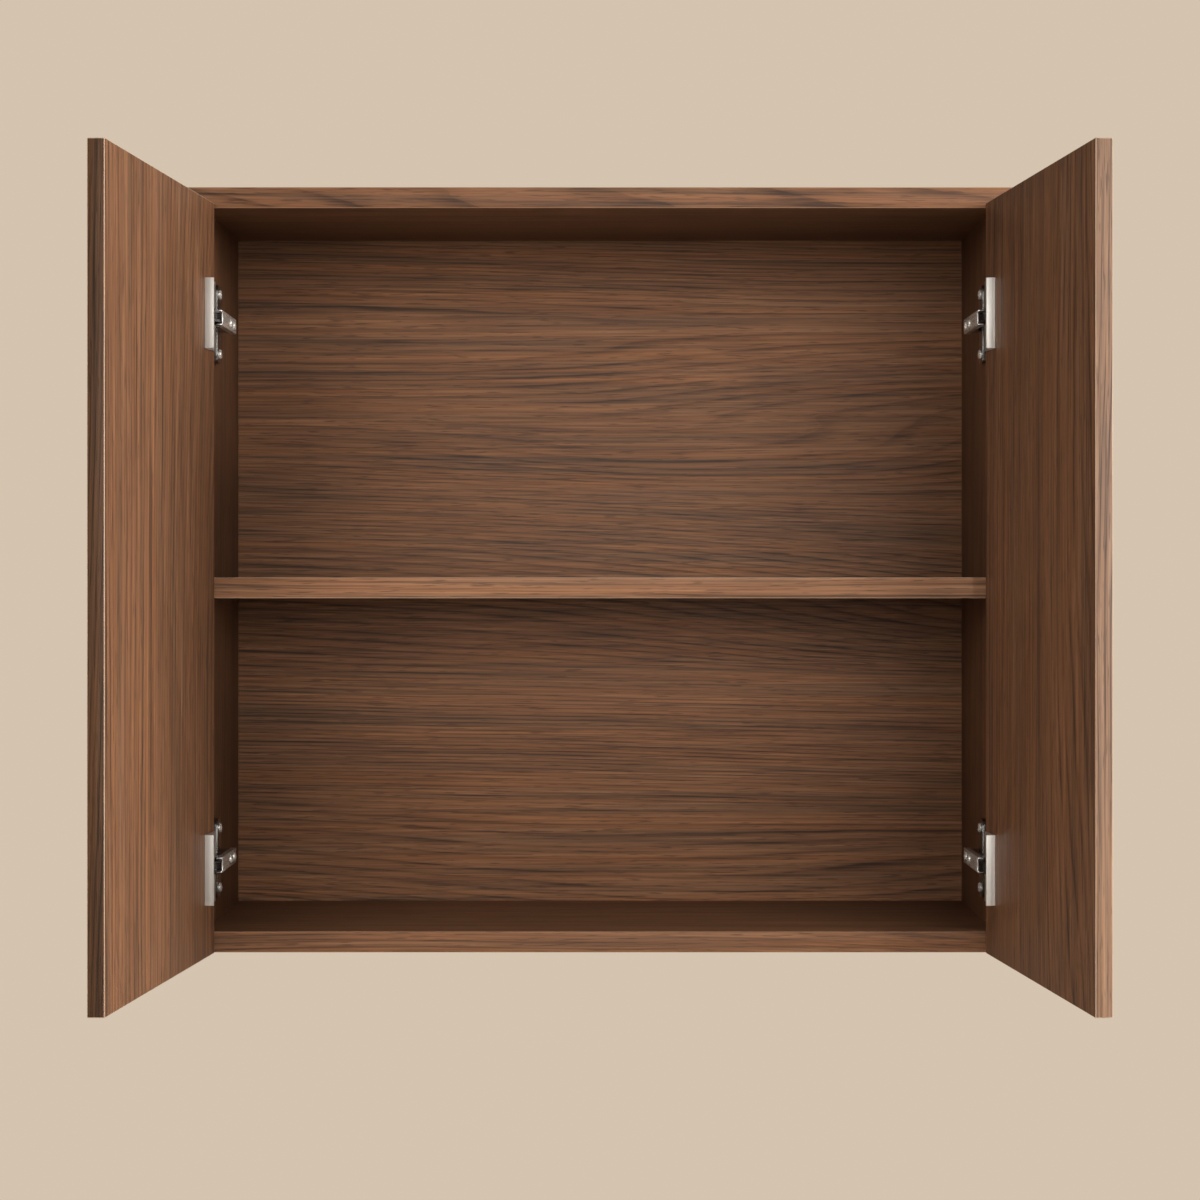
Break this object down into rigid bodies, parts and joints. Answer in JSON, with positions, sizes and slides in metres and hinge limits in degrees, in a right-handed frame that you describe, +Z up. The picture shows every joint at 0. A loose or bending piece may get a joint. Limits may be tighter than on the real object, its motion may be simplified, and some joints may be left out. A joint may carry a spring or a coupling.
{
  "type": "bathroom mirror cabinet",
  "caption": "Wall-hung walnut bathroom cabinet with mirror doors on concealed link hinges, an inner shelf and a hidden hanging cleat.",
  "frame": {"origin": "on the wall plane, midway between the wall cleat's two screw holes", "axes": "+X to the right seen from the front, +Y into the wall, +Z up"},
  "size_m": [0.6272, 0.5094, 0.55],
  "materials": {
    "walnut": "satin oiled veneer",
    "batten_wood": "plain sanded",
    "beech": "plain turned",
    "nickel": "brushed nickel plate",
    "mirror_glass": "polished silvered glass",
    "mounting_tape": "matt adhesive film"
  },
  "bodies": {
    "carcass": {"arm_rivets": "nickel", "back_panel": "walnut", "batten_dowels": "beech", "bottom_panel": "walnut", "corner_dowels": "beech", "hanging_cleat": "batten_wood", "hinge_arm_screws": "nickel", "left_lower_hinge_arm": "nickel", "left_lower_mounting_plate": "nickel", "left_side_panel": "walnut", "left_upper_hinge_arm": "nickel", "left_upper_mounting_plate": "nickel", "lower_spacer": "batten_wood", "mounting_plate_screws": "nickel", "nose_rivets": "nickel", "right_lower_hinge_arm": "nickel", "right_lower_mounting_plate": "nickel", "right_side_panel": "walnut", "right_upper_hinge_arm": "nickel", "right_upper_mounting_plate": "nickel", "shelf_supports": "nickel", "top_panel": "walnut", "wall_cleat": "batten_wood"},
    "shelf": {"shelf": "walnut"},
    "left_main_links": {"left_upper_main_link": "nickel", "left_lower_main_link": "nickel"},
    "left_second_links": {"left_upper_second_link": "nickel", "left_lower_second_link": "nickel"},
    "left_door": {"left_door_panel": "walnut", "left_mirror": "mirror_glass", "left_mirror_tape": "mounting_tape", "left_upper_hinge_cup": "nickel", "left_lower_hinge_cup": "nickel", "left_cup_screws": "nickel", "left_cover_strips": "nickel", "left_cup_main_rivets": "nickel", "left_cup_second_rivets": "nickel"},
    "right_main_links": {"right_upper_main_link": "nickel", "right_lower_main_link": "nickel"},
    "right_second_links": {"right_upper_second_link": "nickel", "right_lower_second_link": "nickel"},
    "right_door": {"right_door_panel": "walnut", "right_mirror": "mirror_glass", "right_mirror_tape": "mounting_tape", "right_upper_hinge_cup": "nickel", "right_lower_hinge_cup": "nickel", "right_cup_screws": "nickel", "right_cover_strips": "nickel", "right_cup_main_rivets": "nickel", "right_cup_second_rivets": "nickel"}
  },
  "joints": [
    {"name": "left_main_link_swing", "type": "hinge", "parent": "carcass", "child": "left_main_links", "pos_m": [-0.27405, -0.2066, 0], "axis": [0, 0, 1], "range_deg": [-41.3, 0]},
    {"name": "left_door_turn", "type": "hinge", "parent": "left_main_links", "child": "left_door", "pos_m": [-0.27963, -0.22282, 0], "axis": [0, 0, 1], "range_deg": [0, 136.3]},
    {"name": "left_second_link_swing", "type": "hinge", "parent": "carcass", "child": "left_second_links", "pos_m": [-0.27745, -0.1906, 0], "axis": [0, 0, 1], "range_deg": [-25.9, 0]},
    {"name": "right_main_link_swing", "type": "hinge", "parent": "carcass", "child": "right_main_links", "pos_m": [0.27405, -0.2066, 0], "axis": [0, 0, -1], "range_deg": [-41.3, 0]},
    {"name": "right_door_turn", "type": "hinge", "parent": "right_main_links", "child": "right_door", "pos_m": [0.27963, -0.22282, 0], "axis": [0, 0, -1], "range_deg": [0, 136.3]},
    {"name": "right_second_link_swing", "type": "hinge", "parent": "carcass", "child": "right_second_links", "pos_m": [0.27745, -0.1906, 0], "axis": [0, 0, -1], "range_deg": [-25.9, 0]},
    {"name": "shelf_lift", "type": "slide", "parent": "carcass", "child": "shelf", "axis": [0, 0, 1], "range_m": [0, 0.04]}
  ],
  "couplings": [
    {"joint": "left_main_link_swing", "follows": "left_door_turn", "ratio": -0.30301},
    {"joint": "left_second_link_swing", "follows": "left_door_turn", "ratio": -0.19002},
    {"joint": "right_main_link_swing", "follows": "right_door_turn", "ratio": -0.30301},
    {"joint": "right_second_link_swing", "follows": "right_door_turn", "ratio": -0.19002}
  ]
}
